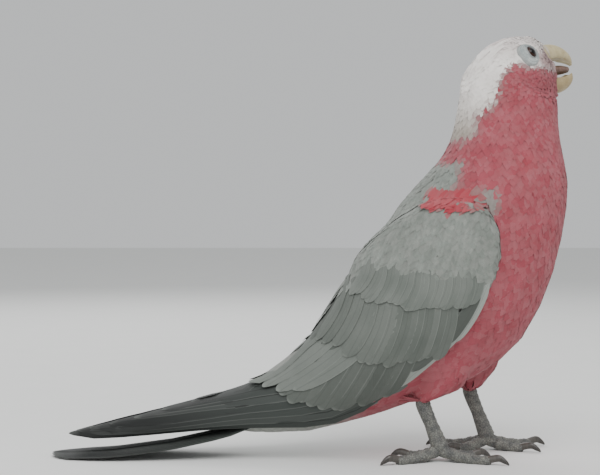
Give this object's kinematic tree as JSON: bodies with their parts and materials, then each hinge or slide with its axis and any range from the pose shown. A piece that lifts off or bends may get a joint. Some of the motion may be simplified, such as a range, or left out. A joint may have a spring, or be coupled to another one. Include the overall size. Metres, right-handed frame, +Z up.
{
  "type": "galah figure",
  "caption": "Life-size still model of a galah standing upright on both feet, head turned to its left, bill a little open, wings folded and tail laid back on the floor.",
  "frame": {"origin": "on the floor, under the middle of the bird from bill to tail tip", "axes": "+X the way the body faces, +Y to the bird's left, +Z up"},
  "size_m": [0.2718, 0.0858, 0.2188],
  "materials": {
    "crown_feathers": "soft white feathers flushed with pink",
    "pink_feathers": "soft rose-pink feathers",
    "grey_feathers": "smooth mid-grey feathers with paler edges",
    "flight_feathers": "smooth dark grey flight feathers",
    "bill_horn": "semi-matt bone-coloured horn",
    "tongue": "damp grey",
    "eye": "wet dark brown",
    "bare_skin": "bare pale grey skin",
    "foot_scales": "grey scaled skin",
    "claw_horn": "dark grey claws"
  },
  "bodies": {
    "root": {"head": "crown_feathers", "crest": "crown_feathers", "neck": "pink_feathers", "trunk": "pink_feathers", "thigh_right": "pink_feathers", "thigh_left": "pink_feathers", "tail_coverts": "grey_feathers", "wing_right_coverts": "grey_feathers", "wing_left_coverts": "grey_feathers", "wing_right_secondaries": "grey_feathers", "wing_left_secondaries": "grey_feathers", "wing_right_primaries": "flight_feathers", "wing_left_primaries": "flight_feathers", "tail": "flight_feathers", "bill_upper": "bill_horn", "bill_lower": "bill_horn", "tongue": "tongue", "eye_right": "eye", "eye_left": "eye", "eye_ring_right": "bare_skin", "eye_ring_left": "bare_skin", "tarsus_right": "foot_scales", "toe_right_front_outer": "foot_scales", "claw_right_front_outer": "claw_horn", "toe_right_front_inner": "foot_scales", "claw_right_front_inner": "claw_horn", "toe_right_rear_outer": "foot_scales", "claw_right_rear_outer": "claw_horn", "toe_right_rear_inner": "foot_scales", "claw_right_rear_inner": "claw_horn", "tarsus_left": "foot_scales", "toe_left_front_outer": "foot_scales", "claw_left_front_outer": "claw_horn", "toe_left_front_inner": "foot_scales", "claw_left_front_inner": "claw_horn", "toe_left_rear_outer": "foot_scales", "claw_left_rear_outer": "claw_horn", "toe_left_rear_inner": "foot_scales", "claw_left_rear_inner": "claw_horn"}
  },
  "joints": []
}
